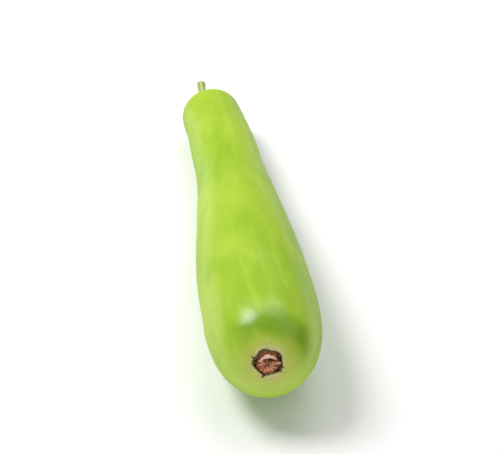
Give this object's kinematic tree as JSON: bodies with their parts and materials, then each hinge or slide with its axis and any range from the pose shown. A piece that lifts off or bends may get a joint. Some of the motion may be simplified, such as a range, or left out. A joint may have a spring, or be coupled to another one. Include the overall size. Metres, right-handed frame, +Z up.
{
  "type": "bottle gourd",
  "caption": "Fresh bottle gourd lying on its side: a lime green club-shaped fruit with a ridged stem at its neck and a dried brown flower scar at its blossom end",
  "frame": {"origin": "on the floor, under the middle of the bounding box", "axes": "+Z is up as the gourd lies, +Y runs from the blossom end to the stem, +X is to the right seen from the blossom end"},
  "size_m": [0.0958, 0.4532, 0.0971],
  "materials": {
    "skin": "satin",
    "stem_rind": "matte",
    "dry_tissue": "matte"
  },
  "bodies": {
    "root": {"gourd_fruit": "skin", "stem": "stem_rind", "blossom_scar": "dry_tissue"}
  },
  "joints": []
}
